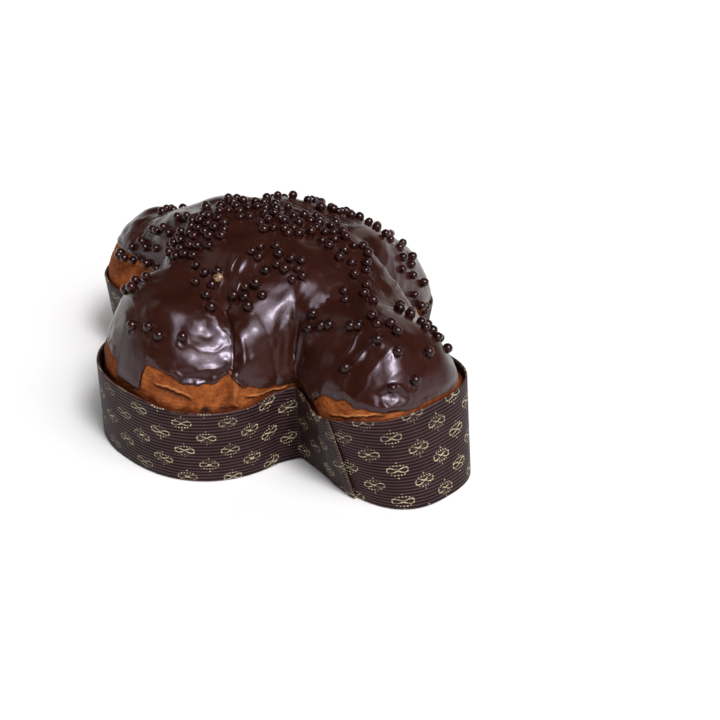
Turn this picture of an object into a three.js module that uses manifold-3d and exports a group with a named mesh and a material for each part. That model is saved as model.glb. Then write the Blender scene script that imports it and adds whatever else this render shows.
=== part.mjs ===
// A colomba: the dove-shaped Easter cake, baked in its corrugated paper case, covered
// with dark chocolate icing and strewn with chocolate pearls. Millimetres, +Z up. The body
// of the dove runs along X, tail at +X and head at -X, with its wings along Y. The origin
// lies under the middle of the whole, on the surface that the case stands on.
import * as THREE from 'three';
import Module from 'manifold-3d';
import { mergeVertices } from 'three/addons/utils/BufferGeometryUtils.js';

const wasm = await Module();
wasm.setup();

// ---- driving dimensions ------------------------------------------------------------
const PAPER = 0.8; // thickness of the corrugated case
const CLEAR = 0.35; // gap between the icing and the cake
const CASE_GAP = 0.8; // gap between the cake and the paper round it
const ICING = 1.6; // thickness of the chocolate
const EDGE = 28; // width of the rounded shoulder round the cake's edge
const ROUNDNESS = 2.3; // exponent of the shoulder's curve
const SEAT_DROP = 4; // how far below the rim the cake leaves the paper
const SHRINK = 1.0; // gap that opens there between the baked cake and the paper
const LOOP = 120; // points round the outline
const END_LEAST = 0.8; // least length of a lobe's rounded end, as a share of half its width
const WAIST_INSET = 0.95; // how much of an inset a waist's corner is drawn in by
const SEAT_SHARE = 0.94; // share of the wall's run at which the cake leaves the paper

// Each lobe: the way it points, its reach, the length of its rounded end, half its width
// and the exponent of that end, all at the foot of the case. Then how the rim differs from
// the foot, because the rising dough pushes the paper about: the rim's shift, and how much
// wider and longer it is.
const LOBES = [
  {
    turn: 0, reach: 136, end: 42, half: 38, power: 2.7,
    foot: [0, 0], rim: [-6, -9.5], wider: 8, longer: -1,
  },
  {
    turn: 90, reach: 103, end: 58, half: 51, power: 2.3,
    foot: [0, 0], rim: [2, 2], wider: 2, longer: 2,
  },
  {
    turn: 180, reach: 125, end: 42, half: 36, power: 2.2,
    foot: [0, 0], rim: [-5, -1], wider: 4, longer: 3,
  },
  {
    turn: 270, reach: 104, end: 58, half: 56.5, power: 2.3,
    foot: [-3.5, 0], rim: [3.5, -6.5], wider: -2.5, longer: 0,
  },
];
// The waist between each lobe and the next: the corner that its curve bends round at the
// foot, and how the rim moves it.
const WAISTS = [
  { foot: [54.5, 33], rim: [0, 0] },
  { foot: [-53.5, 33], rim: [0, 0] },
  { foot: [-54.5, -33], rim: [-1, -2] },
  { foot: [57, -32.5], rim: [1.5, -8.5] },
];
const WAIST_SHARP = 5; // power that keeps a waist's curve close to its corner
// The rim's height round the case, by the foot's bearing from the middle in degrees. It
// drops where the wall leans out.
const RIM_HEIGHT = [
  [-180, 51], [-145, 50], [-110, 49.5], [-88, 48.5], [-70, 45.5], [-52, 44.5], [-38, 47.5], [-31, 49],
  [-22, 50.5], [-14, 56.5], [-4, 58.5], [18, 58], [60, 54], [90, 52], [140, 51], [180, 51],
];
// The risen dough: rounded mounds that run together.
const MOUNDS = [
  { at: [-6, 8], long: 97, wide: 72, turn: 10, top: 112, power: 3.4 }, // body
  { at: [82, -12], long: 70, wide: 46, turn: -6, top: 92.5, power: 2.4 }, // tail
  { at: [-6, -62], long: 54, wide: 54, turn: 0, top: 93, power: 2.6 }, // front wing
  { at: [36, -36], long: 58, wide: 40, turn: -52, top: 95.5, power: 2.3 }, // fold between them
  { at: [22, 60], long: 50, wide: 52, turn: 0, top: 90, power: 2.4 }, // back wing
  { at: [-104, -4], long: 44, wide: 48, turn: 0, top: 86.5, power: 2.6 }, // head
];
const FALL = 38; // how far a mound falls by its outline
const SOFTNESS = 6; // how softly the mounds run together
const SWELL = 0.8; // height of the low swellings that a proved dough has
const SWELL_X = { rate: 0.11, start: 1.3 }; // their waves along X, in radians a millimetre
const SWELL_Y = { rate: 0.13, start: 0.4 }; // and along Y
// Creases where folds of dough met: points along each, with its depth there, and its width.
const CREASES = [
  { path: [[52, -84], [43, -73], [33, -63], [12, -55], [-8, -50]], depth: [6, 7, 6, 3, 0], width: 5 },
  { path: [[66, -46], [58.5, -41], [56, -36], [60, -29], [66, -24]], depth: [3, 6, 5, 2, 0], width: 4.5 },
];
const CREASE_ROUND = 2; // how blunt a crease's bottom is
// Bare crust between the rim and the icing: its height round the cake, by the same bearing.
// The icing ran down to the paper in a tongue on the front wing.
const BARE_CRUST = [
  [-180, 17], [-163, 20], [-155, 21], [-146, 14], [-135, 11], [-120, 11], [-106, 11], [-99, 9],
  [-97, 1.5], [-86.5, 1.5], [-85.5, 14.5], [-80, 14.5], [-76, 15], [-71, 12], [-61, 12.5], [-56, 17],
  [-51, 11.5], [-44, 6], [-37, 3.5], [-31, 1.5], [-24, 1.5], [-21.5, 10], [-19, 8.5], [-16.5, 4.3],
  [-11, 3], [-6, 1.5], [-2, 2.5], [4, 1.5], [10, 3], [16, 2], [24, 6], [34, 3], [46, 7], [58, 2],
  [66, 4], [78, 9], [90, 12], [102, 7], [112, 10], [126, 3], [138, 5], [150, 13], [164, 16], [180, 17],
];

// Pearls: each patch strews its own number over an ellipse, and some are of larger ones.
const PEARL = 5.3; // usual diameter
const SINGLE = 5.8; // diameter of one that lies by itself
const PEARLS_MADE = 128; // the largest ones, as many as these solids carry
const PATCHES = [
  { at: [-50, -31], long: 36, wide: 7, turn: -4, count: 32 },
  { at: [-27, -35], long: 17, wide: 17, turn: 0, count: 30 },
  { at: [-28, 0], long: 25, wide: 20, turn: 40, count: 25 },
  { at: [10, 6], long: 27, wide: 12, turn: 68, count: 22 },
  { at: [44, 7], long: 21, wide: 12, turn: -28, count: 16 },
  { at: [29, -27], long: 19, wide: 8, turn: 5, count: 13 },
  { at: [31, -50], long: 8, wide: 6, turn: 20, count: 9, size: 1.1 },
  { at: [1, -56], long: 13, wide: 9, turn: -35, count: 5 },
  { at: [-28, -77], long: 8, wide: 5, turn: 30, count: 4 },
  { at: [70, -9], long: 10, wide: 7, turn: 40, count: 5 },
  { at: [100, 8], long: 17, wide: 7, turn: 5, count: 11 },
  { at: [-96, 5], long: 10, wide: 7, turn: 60, count: 6 },
  { at: [-89, -34], long: 9, wide: 5, turn: 10, count: 7 },
  { at: [2, 45], long: 14, wide: 7, turn: 25, count: 10 },
  { at: [37, 60], long: 20, wide: 13, turn: 30, count: 18 },
  { at: [-34, 38], long: 28, wide: 12, turn: 30, count: 9 },
];
// Those that lie by themselves, on the front of the wing and the fold and on the tail.
const SINGLES = [
  [-6, -97], [5, -95], [12, -94], [22, -87], [14, -65], [21, -68], [61, -32], [63, -37],
  [69, -34.5], [73, -33], [85, -30], [88.5, -28], [90, -20], [95, -21.5], [100, -17],
  [104.5, -18], [102, -29], [112, -25], [118, -8], [123, -23], [96, -43], [119.5, -35.5],
];

// ---- plan --------------------------------------------------------------------------
const radians = THREE.MathUtils.degToRad;
const bow = (value, power) => Math.sign(value) * Math.abs(value) ** (2 / power);

// Points round one lobe's end: a half superellipse across the way that the lobe points.
function lobeEnd(lobe, rim, inset) {
  const END_STEPS = 60;
  const length = lobe.reach - inset + (rim ? lobe.longer : 0);
  const half = lobe.half - inset + (rim ? lobe.wider : 0);
  const end = Math.max(lobe.end - inset, half * END_LEAST);
  const shift = rim ? [lobe.foot[0] + lobe.rim[0], lobe.foot[1] + lobe.rim[1]] : lobe.foot;
  const turn = radians(lobe.turn);
  return Array.from({ length: END_STEPS }, (_, i) => {
    const t = (i / (END_STEPS - 1) - 0.5) * Math.PI;
    const along = length - end + end * bow(Math.cos(t), lobe.power);
    const across = half * bow(Math.sin(t), lobe.power);
    return [
      along * Math.cos(turn) - across * Math.sin(turn) + shift[0],
      along * Math.sin(turn) + across * Math.cos(turn) + shift[1],
    ];
  });
}

// Points of the waist's curve, from one lobe to the next and bent round a corner.
function waistCurve(from, to, corner) {
  const STEPS = 40;
  return Array.from({ length: STEPS }, (_, i) => {
    const t = (i + 1) / (STEPS + 1);
    const [start, end] = [(1 - t) ** WAIST_SHARP, t ** WAIST_SHARP];
    return [0, 1].map((k) => from[k] * start + corner[k] * (1 - start - end) + to[k] * end);
  });
}

// The closed outline, at the foot or the rim. An inset draws in every lobe and waist.
function outline(rim, inset = 0) {
  const ends = LOBES.map((lobe) => lobeEnd(lobe, rim, inset));
  return LOBES.flatMap((_, i) => {
    const { foot, rim: moved } = WAISTS[i];
    const corner = rim ? [foot[0] + moved[0], foot[1] + moved[1]] : foot;
    const pull = 1 - (inset * WAIST_INSET) / Math.hypot(...corner);
    const next = ends[(i + 1) % LOBES.length];
    return [...ends[i], ...waistCurve(ends[i].at(-1), next[0], corner.map((c) => c * pull))];
  });
}

// Even steps along the foot's outline, and the same steps carried over to the other outlines.
function evenSteps(outlines, count) {
  const lead = outlines[0];
  const run = [0];
  lead.forEach((p, i) => {
    const q = lead[(i + 1) % lead.length];
    run.push(run[i] + Math.hypot(q[0] - p[0], q[1] - p[1]));
  });
  return outlines.map((points) => Array.from({ length: count }, (_, j) => {
    const want = (j / count) * run.at(-1);
    const i = run.findIndex((r) => r > want) - 1;
    const f = (want - run[i]) / (run[i + 1] - run[i]);
    const [p, q] = [points[i], points[(i + 1) % points.length]];
    return [p[0] + (q[0] - p[0]) * f, p[1] + (q[1] - p[1]) * f];
  }));
}

// Moves a ring of points inwards, square to itself.
function drawIn(ring, amount) {
  return ring.map((p, i) => {
    const before = ring[(i + ring.length - 1) % ring.length];
    const after = ring[(i + 1) % ring.length];
    const [dx, dy] = [after[0] - before[0], after[1] - before[1]];
    const size = Math.hypot(dx, dy);
    return [p[0] - (dy / size) * amount, p[1] + (dx / size) * amount];
  });
}

const mix = (a, b, t) => a.map((value, k) => value + (b[k] - value) * t);

// The value at a bearing in a list of bearings and values, eased from one to the next.
function atBearing(list, [x, y], ease) {
  const bearing = THREE.MathUtils.radToDeg(Math.atan2(y, x));
  const i = Math.max(list.findIndex(([to]) => to >= bearing), 1);
  const [[from, low], [to, high]] = [list[i - 1], list[i]];
  const t = (bearing - from) / (to - from);
  return low + (high - low) * (ease ? t * t * (3 - 2 * t) : t);
}

const [foot, rim, innerLoop] = evenSteps([outline(false), outline(true), outline(true, EDGE)], LOOP);
const rimZ = foot.map((p) => atBearing(RIM_HEIGHT, p, true));

// A ring of the case's wall, at a share of its height, drawn in from the outer face.
const wallRing = (share, amount) => drawIn(foot.map((p, i) => mix(p, rim[i], share)), amount);

// ---- the risen cake ----------------------------------------------------------------
function creaseDepth(x, y) {
  return CREASES.reduce((total, { path, depth, width }) => {
    let nearest = Infinity;
    let here = 0;
    for (let i = 0; i + 1 < path.length; i++) {
      const [ax, ay] = path[i];
      const [ex, ey] = [path[i + 1][0] - ax, path[i + 1][1] - ay];
      const t = THREE.MathUtils.clamp(((x - ax) * ex + (y - ay) * ey) / (ex * ex + ey * ey), 0, 1);
      const away = Math.hypot(x - ax - t * ex, y - ay - t * ey);
      if (away < nearest) {
        nearest = away;
        here = depth[i] + (depth[i + 1] - depth[i]) * t;
      }
    }
    return total + here * Math.exp(-(Math.hypot(nearest, CREASE_ROUND) - CREASE_ROUND) / width);
  }, 0);
}

// Height of the dough over a point of the plan: the soft maximum of the mounds, less the
// creases and with the low swellings that a proved dough has.
function domeHeight(x, y) {
  const heights = MOUNDS.map(({ at, long, wide, turn, top, power }) => {
    const [c, s] = [Math.cos(radians(turn)), Math.sin(radians(turn))];
    const along = (x - at[0]) * c + (y - at[1]) * s;
    const across = (y - at[1]) * c - (x - at[0]) * s;
    return top - FALL * Math.hypot(along / long, across / wide) ** power;
  });
  const highest = Math.max(...heights);
  const sum = heights.reduce((total, h) => total + Math.exp((h - highest) / SOFTNESS), 0);
  const wave = (value, { rate, start }) => Math.sin(value * rate + start);
  const swell = SWELL * wave(x, SWELL_X) * wave(y, SWELL_Y);
  return highest + SOFTNESS * Math.log(sum) - creaseDepth(x, y) + swell;
}

// Round the edge the cake comes up out of the case in a rounded shoulder: t runs from 0 at
// the paper to 1 where the shoulder ends.
const seat = wallRing(SEAT_SHARE, PAPER + SHRINK);
function shoulderPoint(i, t) {
  const [x, y] = mix(seat[i], innerLoop[i], t);
  const low = rimZ[i] - SEAT_DROP;
  const rise = (1 - (1 - t) ** ROUNDNESS) ** (1 / ROUNDNESS);
  return [x, y, low + (domeHeight(x, y) - low) * rise];
}

// Where the icing ends on the shoulder, found by halving.
const icingEdge = foot.map((p, i) => {
  const HALVINGS = 30;
  const FURTHEST = 0.95; // share of the shoulder that may be bare
  const want = rimZ[i] + atBearing(BARE_CRUST, p, false);
  let [low, high] = [0, FURTHEST];
  for (let k = 0; k < HALVINGS; k++) {
    const middle = (low + high) / 2;
    if (shoulderPoint(i, middle)[2] < want) low = middle;
    else high = middle;
  }
  return low;
});

// Rings of the cake's top. Those on the shoulder have every point of the loop, and those
// inside it fewer and fewer.
const SHOULDER_RINGS = [0, 0.1, 0.28, 0.6, 1];
const INNER_RINGS = [[0.84, 1], [0.68, 2], [0.53, 2], [0.38, 4], [0.25, 4], [0.12, 8]];
function topRings() {
  const rings = SHOULDER_RINGS.map((k) => icingEdge.map((e, i) => shoulderPoint(i, e + (1 - e) * k)));
  for (const [share, every] of INNER_RINGS) {
    rings.push(innerLoop.filter((_, i) => i % every === 0).map(([x, y]) => {
      const [u, v] = [x * share, y * share];
      return [u, v, domeHeight(u, v)];
    }));
  }
  rings.push([[0, 0, domeHeight(0, 0)]]);
  return rings;
}

// ---- closed bodies from rings ------------------------------------------------------
// Faces that join each ring to the next, which may have as many points, half as many or
// one. The rings' points are numbered on from the first ring to the last.
function ringFaces(rings) {
  const starts = [0];
  for (const ring of rings) starts.push(starts.at(-1) + ring.length);
  const faces = [];
  for (let r = 0; r + 1 < rings.length; r++) {
    const [m, n] = [rings[r].length, rings[r + 1].length];
    const a = (i) => starts[r] + (i % m);
    const b = (i) => starts[r + 1] + (i % n);
    if (m === 1) {
      for (let i = 0; i < n; i++) faces.push([a(0), b(i + 1), b(i)]);
    } else if (n === 1) {
      for (let i = 0; i < m; i++) faces.push([a(i), a(i + 1), b(0)]);
    } else if (m === n) {
      for (let i = 0; i < m; i++) faces.push([a(i), a(i + 1), b(i + 1)], [a(i), b(i + 1), b(i)]);
    } else {
      for (let i = 0; i < n; i++) {
        faces.push([a(2 * i), a(2 * i + 1), b(i)], [a(2 * i + 1), a(2 * i + 2), b(i + 1)]);
        faces.push([a(2 * i + 1), b(i + 1), b(i)]);
      }
    }
  }
  return faces;
}

function geometryFrom(points, faces) {
  const geometry = new THREE.BufferGeometry();
  geometry.setAttribute('position', new THREE.Float32BufferAttribute(points.flat(), 3));
  geometry.setIndex(faces.flat());
  return geometry;
}

// A closed body, whose first and last rings are each one point.
const bodyFromRings = (rings) => geometryFrom(rings.flat(), ringFaces(rings));

// A closed skin between two faces that have rings alike, with an edge along the first ring.
function skinBody(inner, outer) {
  const faces = ringFaces(outer);
  const points = [...outer.flat(), ...inner.flat()];
  const start = outer.flat().length;
  const under = faces.map(([a, b, c]) => [start + a, start + c, start + b]);
  const loop = outer[0].length;
  const rejoin = (i) => (i < loop ? start + i : i - loop);
  const edge = ringFaces([inner[0], outer[0]]).map((face) => face.map(rejoin));
  return geometryFrom(points, [...faces, ...under, ...edge]);
}

// A geometry as a solid that can be joined, and back again.
function solidOf(geometry) {
  const bare = geometry.clone();
  for (const name of Object.keys(bare.attributes)) {
    if (name !== 'position') bare.deleteAttribute(name);
  }
  const merged = mergeVertices(bare, 1e-4);
  return new wasm.Manifold(new wasm.Mesh({
    numProp: 3,
    vertProperties: new Float32Array(merged.attributes.position.array),
    triVerts: new Uint32Array(merged.index.array),
  }));
}

function geometryOf(solid) {
  const mesh = solid.getMesh();
  const geometry = new THREE.BufferGeometry();
  geometry.setAttribute('position', new THREE.Float32BufferAttribute(mesh.vertProperties, 3));
  geometry.setIndex(Array.from(mesh.triVerts));
  return geometry;
}

// Moves rings out of the surface they lie on by the amounts that thickness(ring) gives. The
// normals are those of the surface that the rings make together.
function raiseRings(rings, thickness) {
  const surface = bodyFromRings(rings);
  surface.computeVertexNormals();
  const { array } = surface.attributes.normal;
  let at = 0;
  return rings.map((ring, r) => ring.map((p) => {
    const normal = [array[at], array[at + 1], array[at + 2]];
    at += 3;
    return p.map((value, k) => value + normal[k] * thickness(r));
  }));
}

// ---- the paper case: wall and bottom in one ----------------------------------------
const ring3 = (ring, z) => ring.map((p, i) => [p[0], p[1], Array.isArray(z) ? z[i] : z]);
function paperCase() {
  const WALL_STEPS = [0, 0.5, 1];
  const outer = WALL_STEPS.map((k) => ring3(wallRing(k, 0), rimZ.map((z) => z * k)));
  const inner = WALL_STEPS.map((k) => ring3(wallRing(k, PAPER), rimZ.map((z) => PAPER + (z - PAPER) * k)));
  const body = bodyFromRings([[[0, 0, 0]], ...outer, ...inner.reverse(), [[0, 0, PAPER]]]);
  return geometryOf(solidOf(body).add(solidOf(seamFlap())));
}

// The end of the paper strip, lapped over its start and glued, on the front of the tail.
// It stands one paper's thickness proud at its edge and dies into the wall behind it.
function seamFlap() {
  const STEPS = [1.5, 1, 0, -0.5]; // places on the loop, in its steps, from the edge back
  const PROUD = [1, 0.9, 0.3, 0.05];
  const SHARES = [0.02, 0.5, 0.98]; // of the wall's height
  const onRing = (ring, step) => {
    const at = Math.floor(step);
    return mix(ring[(at + LOOP) % LOOP], ring[(at + 1 + LOOP) % LOOP], step - at);
  };
  const point = (share, amount, step) => {
    const [z] = onRing(rimZ.map((height) => [height]), step);
    return [...onRing(wallRing(share, amount), step), z * share];
  };
  const loops = SHARES.map((share) => [
    ...STEPS.map((step) => point(share, PAPER / 2, step)),
    ...STEPS.map((step, i) => point(share, -PAPER * PROUD[i], step)).reverse(),
  ]);
  const middle = (loop) => [[0, 1, 2].map((axis) => loop.reduce((sum, p) => sum + p[axis], 0) / loop.length)];
  return bodyFromRings([middle(loops[0]), ...loops, middle(loops.at(-1))]);
}

// ---- cake, icing and pearls --------------------------------------------------------
const top = topRings();
function cake() {
  const bottom = PAPER + CLEAR;
  const side = [0, 0.5].map((k) => {
    const z = rimZ.map((height) => bottom + (height - bottom) * k);
    return ring3(wallRing(k, PAPER + CASE_GAP + (SHRINK - CASE_GAP) * k), z);
  });
  const shoulder = [0, 0.5].map((k) => icingEdge.map((e, i) => shoulderPoint(i, e * k)));
  return bodyFromRings([[[0, 0, bottom]], ...side, ...shoulder, ...top]);
}

// Height and normal of the icing's outer face over a point of the plan, on its own facets.
function faceAt(geometry, x, y) {
  const position = geometry.attributes.position;
  const index = geometry.index;
  const [a, b, c] = [new THREE.Vector3(), new THREE.Vector3(), new THREE.Vector3()];
  const found = { z: -Infinity, normal: new THREE.Vector3(0, 0, 1) };
  for (let f = 0; f < index.count; f += 3) {
    [a, b, c].forEach((v, k) => v.fromBufferAttribute(position, index.getX(f + k)));
    const area = (b.x - a.x) * (c.y - a.y) - (c.x - a.x) * (b.y - a.y);
    if (area < 1e-9) continue;
    const u = ((x - a.x) * (c.y - a.y) - (c.x - a.x) * (y - a.y)) / area;
    const v = ((b.x - a.x) * (y - a.y) - (x - a.x) * (b.y - a.y)) / area;
    if (u < 0 || v < 0 || u + v > 1) continue;
    const z = a.z + (b.z - a.z) * u + (c.z - a.z) * v;
    if (z > found.z) {
      found.z = z;
      new THREE.Triangle(a, b, c).getNormal(found.normal);
    }
  }
  return found;
}

// The pearls' places: first those by themselves. Then each patch goes on drawing places
// from an even sequence until it has its number, and skips those too near another pearl.
const part = (value) => value - Math.floor(value);
function pearlPlaces() {
  const NEAREST = 0.97; // least distance between two middles, as a share of touching
  const TRIES = 2000;
  const reachAt = (k, patch) => Math.sqrt(part(k * 0.7548777 + patch * 0.37));
  const bearingAt = (k, patch) => 2 * Math.PI * part(k * 0.5698403 + patch * 0.61);
  const unevenness = (k, patch) => 0.9 + 0.2 * part(k * 0.618034 + patch * 0.23);
  const places = SINGLES.map(([x, y]) => ({ x, y, size: SINGLE }));
  PATCHES.forEach(({ at, long, wide, turn, count, size: usual = 1 }, patch) => {
    const [c, s] = [Math.cos(radians(turn)), Math.sin(radians(turn))];
    let made = 0;
    for (let k = 1; made < count && k < TRIES; k++) {
      const [reach, bearing] = [reachAt(k, patch), bearingAt(k, patch)];
      const [u, v] = [long * reach * Math.cos(bearing), wide * reach * Math.sin(bearing)];
      const [x, y] = [at[0] + u * c - v * s, at[1] + u * s + v * c];
      const size = PEARL * usual * unevenness(k, patch);
      const clear = places.every((p) => Math.hypot(p.x - x, p.y - y) > NEAREST * (p.size + size) / 2);
      if (clear) {
        places.push({ x, y, size });
        made++;
      }
    }
  });
  return places;
}

function chocolateIcing() {
  const LIP = 0.7; // share of the thickness at the icing's very edge
  const inner = raiseRings(top, () => CLEAR);
  const outer = raiseRings(top, (r) => CLEAR + ICING * (r === 0 ? LIP : 1));
  const upper = bodyFromRings(outer);
  let solid = solidOf(skinBody(inner, outer));
  const SUNK = 0.3; // distance of a pearl's middle above the icing, as a share of its size
  const FULLER = 1.06; // makes up for what the flat faces cut off a round pearl
  const chosen = pearlPlaces().sort((a, b) => b.size - a.size).slice(0, PEARLS_MADE);
  for (const { x, y, size } of chosen) {
    const { z, normal } = faceAt(upper, x, y);
    if (z === -Infinity) continue;
    const ball = new THREE.IcosahedronGeometry((size / 2) * FULLER, 0);
    ball.rotateZ(x + y);
    ball.translate(x + normal.x * size * SUNK, y + normal.y * size * SUNK, z + normal.z * size * SUNK);
    solid = solid.add(solidOf(ball));
  }
  return geometryOf(solid);
}

// ---- the whole ---------------------------------------------------------------------
function piece(name, geometry, color, roughness) {
  const finish = new THREE.MeshStandardMaterial({ color, roughness, metalness: 0 });
  const mesh = new THREE.Mesh(geometry, finish);
  mesh.name = name;
  return mesh;
}

const colomba = new THREE.Group();
colomba.add(
  piece('paper_case', paperCase(), 0x35262b, 0.8),
  piece('cake', cake(), 0xb0602c, 0.85),
  piece('chocolate_icing', chocolateIcing(), 0x2f1714, 0.25),
);
const bounds = new THREE.Box3().setFromObject(colomba);
const centre = bounds.getCenter(new THREE.Vector3());
colomba.position.set(-centre.x, -centre.y, 0);
colomba.updateMatrixWorld(true);

export default colomba;
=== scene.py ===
import itertools

import bpy
import numpy as np
from mathutils import Matrix, Vector


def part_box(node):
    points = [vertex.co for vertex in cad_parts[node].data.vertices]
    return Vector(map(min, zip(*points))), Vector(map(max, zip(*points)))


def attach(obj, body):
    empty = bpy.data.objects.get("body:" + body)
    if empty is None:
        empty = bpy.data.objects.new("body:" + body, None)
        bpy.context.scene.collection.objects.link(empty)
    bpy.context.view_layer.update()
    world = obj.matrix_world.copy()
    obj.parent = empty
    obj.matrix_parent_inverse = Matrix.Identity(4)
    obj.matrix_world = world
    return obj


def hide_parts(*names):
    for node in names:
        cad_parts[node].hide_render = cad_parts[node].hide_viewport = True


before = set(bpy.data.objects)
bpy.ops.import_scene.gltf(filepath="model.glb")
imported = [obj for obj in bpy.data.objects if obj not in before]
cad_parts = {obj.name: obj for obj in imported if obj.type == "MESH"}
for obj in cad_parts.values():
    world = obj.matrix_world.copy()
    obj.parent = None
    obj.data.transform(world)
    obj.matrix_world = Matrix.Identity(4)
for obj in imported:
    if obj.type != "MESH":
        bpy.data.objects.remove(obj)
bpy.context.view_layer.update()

# Every shape below is worked out in millimetres over the cake's plan, with x towards the
# dove's tail and y towards its back wing, and its points are grids of rows and columns.

# ---- the paper case ----------------------------------------------------------------
# A strip of fluted paper, printed in pale gold, stands round a paper bottom. Its lower
# edge is folded under the bottom and its two ends are lapped and glued on the tail's
# front. The rising dough pushed it out at the front wing and at the tail.
PAPER = 0.8
FLUTE = 2.1
FLUTE_DEPTH = 0.4
FOOT_ROUND = 1.5
FOLDED_UNDER = 8.0
# The plan's four lobes: the way each points in degrees, its reach, the length of its rounded
# end, its half width, its squareness and its shift, then what the rim adds to its shift, half
# width and reach.
LOBES = [
    dict(turn=0, reach=136, end=42, half=38, power=2.7, foot=(0, 0), rim=(-6, -9.5), wider=8, longer=-1),
    dict(turn=90, reach=103, end=58, half=51, power=2.3, foot=(0, 0), rim=(2, 2), wider=2, longer=2),
    dict(turn=180, reach=125, end=42, half=36, power=2.2, foot=(0, 0), rim=(-5, -1), wider=4, longer=3),
    dict(turn=270, reach=104, end=58, half=56.5, power=2.3, foot=(-3.5, 0), rim=(3.5, -6.5),
         wider=-2.5, longer=0),
]
# The corners between the lobes, at the foot, and what the rim adds.
WAISTS = [
    dict(foot=(54.5, 33), rim=(0, 0)),
    dict(foot=(-53.5, 33), rim=(0, 0)),
    dict(foot=(-54.5, -33), rim=(-1, -2)),
    dict(foot=(57, -32.5), rim=(1.5, -8.5)),
]
WAIST_SHARP = 5
WAIST_INSET = 0.95
LEAST_END = 0.8
END_STEPS = 361
WAIST_STEPS = 144
# The rim's height by the bearing of the wall's foot from the middle, in degrees.
RIM_HEIGHT = [
    (-180, 51), (-145, 50), (-110, 49.5), (-88, 48.5), (-70, 45.5), (-52, 44.5), (-38, 47.5), (-31, 49),
    (-22, 50.5), (-14, 56.5), (-4, 58.5), (18, 58), (60, 54), (90, 52), (140, 51), (180, 51),
]
SEAM = 0.0125
LAP = 0.018


def lobe_end(lobe, at_rim, inset):
    """Half a superellipse: along = length - end + end cos(t)^(2/p), across = half sin(t)^(2/p)."""
    t = np.linspace(-np.pi / 2, np.pi / 2, END_STEPS)
    length = lobe["reach"] - inset + lobe["longer"] * at_rim
    half = lobe["half"] - inset + lobe["wider"] * at_rim
    end = max(lobe["end"] - inset, half * LEAST_END)
    power = 2 / lobe["power"]
    along = length - end + end * np.abs(np.cos(t)) ** power
    across = half * np.sign(t) * np.abs(np.sin(t)) ** power
    turn = np.radians(lobe["turn"])
    c, s = np.cos(turn), np.sin(turn)
    shift = np.add(lobe["foot"], np.multiply(lobe["rim"], at_rim))
    return np.stack([along * c - across * s, along * s + across * c], -1) + shift


def outline(at_rim, inset=0.0):
    """The closed plan: each lobe's end, then round the waist to the next lobe by
    start (1 - t)^n + corner (the rest) + stop t^n."""
    ends = [lobe_end(lobe, at_rim, inset) for lobe in LOBES]
    t = np.linspace(0, 1, WAIST_STEPS + 2)[1:-1, None]
    runs = []
    for i, waist in enumerate(WAISTS):
        corner = np.add(waist["foot"], np.multiply(waist["rim"], at_rim))
        corner = corner * (1 - inset * WAIST_INSET / np.hypot(*corner))
        start, stop = ends[i][-1], ends[(i + 1) % len(LOBES)][0]
        near, far = (1 - t) ** WAIST_SHARP, t**WAIST_SHARP
        runs += [ends[i], start * near + corner * (1 - near - far) + stop * far]
    closed = np.concatenate(runs)
    return np.concatenate([closed, closed[:1]])


# The inner outline is where the cake's rounded shoulder ends.
SHOULDER = 28.0
OUTLINES = {"foot": outline(False), "rim": outline(True), "inner": outline(True, SHOULDER)}
around = np.cumsum(np.hypot(*np.diff(OUTLINES["foot"], axis=0, prepend=OUTLINES["foot"][:1]).T))
FOOT_LENGTH = around[-1]


def plan(name, turn):
    """The point of an outline that lies a share of the way round the foot."""
    share = (np.asarray(turn) % 1) * FOOT_LENGTH
    return np.stack([np.interp(share, around, OUTLINES[name][:, k]) for k in (0, 1)], -1)


def smooth(low, high, value):
    """0 below low, 1 above high, and 3t^2 - 2t^3 between."""
    t = np.clip((value - low) / (high - low), 0, 1)
    return t * t * (3 - 2 * t)


def at_bearing(table, point):
    """The table's value at a point's bearing from the middle, eased between its knots."""
    knots, values = np.array(table, float).T
    bearing = np.degrees(np.arctan2(point[..., 1], point[..., 0]))
    i = np.clip(np.searchsorted(knots, bearing), 1, len(knots) - 1)
    t = smooth(knots[i - 1], knots[i], bearing)
    return values[i - 1] + (values[i] - values[i - 1]) * t


def wall_facts(turn):
    """Foot point, run from foot to rim, outward way and rim height at each share round."""
    foot, rim = plan("foot", turn), plan("rim", turn)
    step = 0.002
    ahead = [plan(name, turn + step) - plan(name, turn - step) for name in ("foot", "rim")]
    way = ahead[0] + ahead[1]
    out = np.stack([way[..., 1], -way[..., 0]], -1)
    out /= np.linalg.norm(out, axis=-1, keepdims=True)
    return foot, rim - foot, out, at_bearing(RIM_HEIGHT, foot)


NOISE_VALUES = 4096
PRIMES = (73856093, 19349663, 83492791)


def noise(points, size, seed):
    """Random values of -1 to 1 at the corners of cubes of that size, eased between them by
    6t^5 - 15t^4 + 10t^3. Primes spread the corners over the values."""
    values = np.random.default_rng(seed).uniform(-1, 1, NOISE_VALUES)
    scaled = points / size
    cell = np.floor(scaled).astype(np.int64)
    f = scaled - cell
    f = f * f * f * (f * (f * 6 - 15) + 10)
    total = 0.0
    for corner in itertools.product((0, 1), repeat=3):
        a, b, c = (axis * prime for axis, prime in zip(np.moveaxis(cell + corner, -1, 0), PRIMES))
        weight = np.prod(np.where(corner, f, 1 - f), axis=-1)
        total = total + weight * values[(a ^ b ^ c) % NOISE_VALUES]
    return total


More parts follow.
